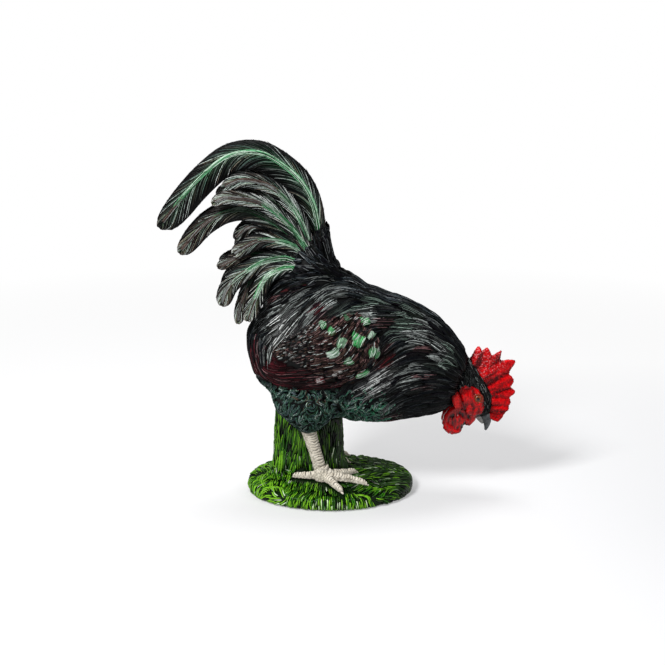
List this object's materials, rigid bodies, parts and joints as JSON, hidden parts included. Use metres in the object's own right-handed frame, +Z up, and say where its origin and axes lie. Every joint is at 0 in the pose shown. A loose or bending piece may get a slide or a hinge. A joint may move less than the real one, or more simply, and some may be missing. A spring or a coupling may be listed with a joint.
{
  "type": "cockerel ornament",
  "caption": "Free-standing cast cockerel ornament, head lowered to peck, with an arched tail, on an oval grass mound with a grass clump under the belly.",
  "frame": {"origin": "middle of the oval mound's flat underside, on the floor", "axes": "+Z up, +X towards the beak, +Y towards the bird's left side"},
  "size_m": [0.3833, 0.1434, 0.3872],
  "materials": {
    "black_plumage": "cast resin painted black with dry-brushed silver and green strands, satin varnish",
    "crown_plumage": "cast resin painted black with fine silver flecks, satin varnish",
    "wing_plumage": "cast resin painted brown-black with pale edges and bright green patches, satin varnish",
    "flight_plumage": "cast resin painted dark maroon and black, satin varnish",
    "down_plumage": "cast resin painted mottled dark green, satin varnish",
    "tail_plumage": "cast resin painted black with mint green quills and pale barbs, satin varnish",
    "red_flesh": "cast resin painted bright red, finely pebbled, gloss varnish",
    "lobe_flesh": "cast resin painted light red, gloss varnish",
    "beak_horn": "cast resin painted slate grey, gloss varnish",
    "eye_enamel": "orange-brown enamel with a black pupil, high gloss",
    "leg_scales": "cast resin painted off-white with grey scale lines, satin varnish",
    "grass_paint": "cast resin painted in greens, gloss varnish",
    "steel_rod": "plain drawn steel rod, unseen inside"
  },
  "bodies": {
    "root": {"body": "black_plumage", "comb": "red_flesh", "grass_base": "grass_paint", "grass_clump": "grass_paint", "head": "crown_plumage", "left_cheek": "red_flesh", "left_ear_lobe": "lobe_flesh", "left_eye": "eye_enamel", "left_flight_feathers": "flight_plumage", "left_foot": "leg_scales", "left_green_plume": "tail_plumage", "left_inner_plume": "tail_plumage", "left_leg_rod": "steel_rod", "left_long_plume": "tail_plumage", "left_lower_plume": "tail_plumage", "left_main_sickle": "tail_plumage", "left_middle_plume": "tail_plumage", "left_rump_plume": "tail_plumage", "left_second_sickle": "tail_plumage", "left_shank": "leg_scales", "left_thigh": "down_plumage", "left_third_sickle": "tail_plumage", "left_upper_plume": "tail_plumage", "left_wattle": "red_flesh", "left_wing": "wing_plumage", "lower_beak": "beak_horn", "neck_hackle": "black_plumage", "right_cheek": "red_flesh", "right_ear_lobe": "lobe_flesh", "right_eye": "eye_enamel", "right_flight_feathers": "flight_plumage", "right_foot": "leg_scales", "right_green_plume": "tail_plumage", "right_inner_plume": "tail_plumage", "right_leg_rod": "steel_rod", "right_long_plume": "tail_plumage", "right_lower_plume": "tail_plumage", "right_main_sickle": "tail_plumage", "right_middle_plume": "tail_plumage", "right_rump_plume": "tail_plumage", "right_second_sickle": "tail_plumage", "right_shank": "leg_scales", "right_thigh": "down_plumage", "right_third_sickle": "tail_plumage", "right_upper_plume": "tail_plumage", "right_wattle": "red_flesh", "right_wing": "wing_plumage", "tail_root": "black_plumage", "upper_beak": "beak_horn"}
  },
  "joints": []
}
